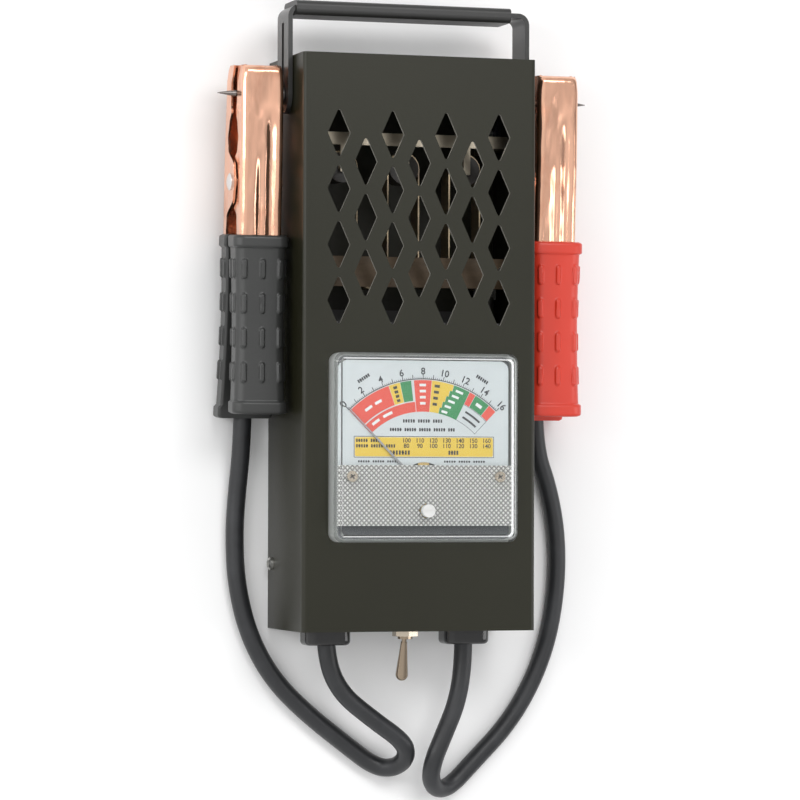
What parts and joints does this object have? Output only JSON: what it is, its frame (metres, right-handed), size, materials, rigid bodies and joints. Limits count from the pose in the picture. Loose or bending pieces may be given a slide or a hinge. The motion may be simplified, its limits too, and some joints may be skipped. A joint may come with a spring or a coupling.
{
  "type": "battery load tester",
  "caption": "Hand-held battery load tester: vented sheet-steel case with a carrying handle, a panel meter, a toggle switch and two leads ending in spring clamps parked on side pegs.",
  "frame": {"origin": "middle of the case's flat back face", "axes": "+X across the case, +Y along the case towards the handle, +Z out of the front face with the meter"},
  "size_m": [0.1684, 0.346, 0.0654],
  "materials": {
    "case_paint": "satin",
    "zinc_screw": "satin",
    "handle_steel": "satin",
    "handle_plastic": "satin",
    "turned_steel": "satin",
    "meter_plastic": "matt",
    "clear_plastic": "gloss",
    "dial_print": "matt",
    "knurled_plastic": "satin",
    "nickel": "satin",
    "adjuster_plastic": "satin",
    "soft_iron": "matt",
    "magnet_alloy": "matt",
    "pointer_paint": "matt",
    "coil_copper": "gloss",
    "brass": "satin",
    "phenolic_black": "matt",
    "phenolic_brown": "matt",
    "heater_alloy": "satin",
    "ceramic": "matt",
    "galvanised": "satin",
    "lead_rubber": "satin",
    "gland_plastic": "gloss",
    "copper_plate": "gloss",
    "black_vinyl": "satin",
    "red_vinyl": "satin",
    "spring_steel": "satin",
    "tinned": "satin",
    "red_wire": "satin"
  },
  "bodies": {
    "case": {"front_cover": "case_paint", "rear_chassis": "case_paint", "case_screws": "zinc_screw", "case_clip_nuts": "spring_steel", "left_peg": "turned_steel", "right_peg": "turned_steel", "peg_nuts": "zinc_screw", "meter_base": "meter_plastic", "meter_lens": "clear_plastic", "dial_plate": "dial_print", "meter_mask": "knurled_plastic", "dial_screws": "nickel", "magnet_ring": "soft_iron", "meter_magnets": "magnet_alloy", "coil_core": "soft_iron", "upper_bridge": "brass", "lower_bridge": "brass", "hairspring": "brass", "meter_studs": "brass", "meter_nuts": "brass", "meter_bracket": "galvanised", "switch_body": "phenolic_black", "switch_bushing": "nickel", "switch_nut": "nickel", "switch_washer": "nickel", "switch_terminals": "tinned", "resistor_ribbon": "heater_alloy", "load_studs": "brass", "terminal_board": "phenolic_brown", "board_screws": "zinc_screw", "support_bar": "nickel", "ceramic_beads": "ceramic", "heat_shield": "galvanised", "ring_terminals": "tinned", "meter_wires": "red_wire", "inner_leads": "lead_rubber", "clamp_rivets": "nickel", "lead_crimps": "tinned", "black_gland": "gland_plastic", "black_lead": "lead_rubber", "black_lower_arm": "copper_plate", "black_lower_grip": "black_vinyl", "black_spring": "spring_steel", "red_gland": "gland_plastic", "red_lead": "lead_rubber", "red_lower_arm": "copper_plate", "red_lower_grip": "red_vinyl", "red_spring": "spring_steel"},
    "handle": {"handle_strap": "handle_steel", "handle_grip": "handle_plastic"},
    "switch_lever": {"switch_lever": "nickel"},
    "pointer": {"pointer": "pointer_paint", "pointer_staff": "turned_steel", "moving_coil": "coil_copper"},
    "zero_adjuster": {"zero_adjuster": "adjuster_plastic"},
    "black_jaw": {"black_upper_arm": "copper_plate", "black_upper_grip": "black_vinyl"},
    "red_jaw": {"red_upper_arm": "copper_plate", "red_upper_grip": "red_vinyl"}
  },
  "joints": [
    {"name": "handle_pivot", "type": "hinge", "parent": "case", "child": "handle", "pos_m": [0, 0.107, 0.029], "axis": [1, 0, 0], "range_deg": [-90, 115]},
    {"name": "switch_rock", "type": "hinge", "parent": "case", "child": "switch_lever", "pos_m": [0, -0.1225, 0.0325], "axis": [-1, 0, 0], "range_deg": [0, 24], "stiffness_Nm_per_rad": 0.05, "springref_deg": -20.05},
    {"name": "pointer_swing", "type": "hinge", "parent": "case", "child": "pointer", "pos_m": [0, -0.0628, 0.058], "axis": [0, 0, -1], "range_deg": [0, 88], "stiffness_Nm_per_rad": 0.00005, "springref_deg": -2.86, "deforming": ["hairspring"]},
    {"name": "zero_turn", "type": "hinge", "parent": "case", "child": "zero_adjuster", "pos_m": [0, -0.0718, 0.062], "axis": [0, 0, 1], "range_deg": [-45, 45]},
    {"name": "black_jaw_open", "type": "hinge", "parent": "case", "child": "black_jaw", "pos_m": [-0.0666, 0.06908, 0.02653], "axis": [1, 0, 0], "range_deg": [0, 8], "stiffness_Nm_per_rad": 1.2, "springref_deg": -28.65, "deforming": ["black_spring"]},
    {"name": "red_jaw_open", "type": "hinge", "parent": "case", "child": "red_jaw", "pos_m": [0.0678, 0.06908, 0.02653], "axis": [1, 0, 0], "range_deg": [0, 8], "stiffness_Nm_per_rad": 1.2, "springref_deg": -28.65, "deforming": ["red_spring"]}
  ]
}
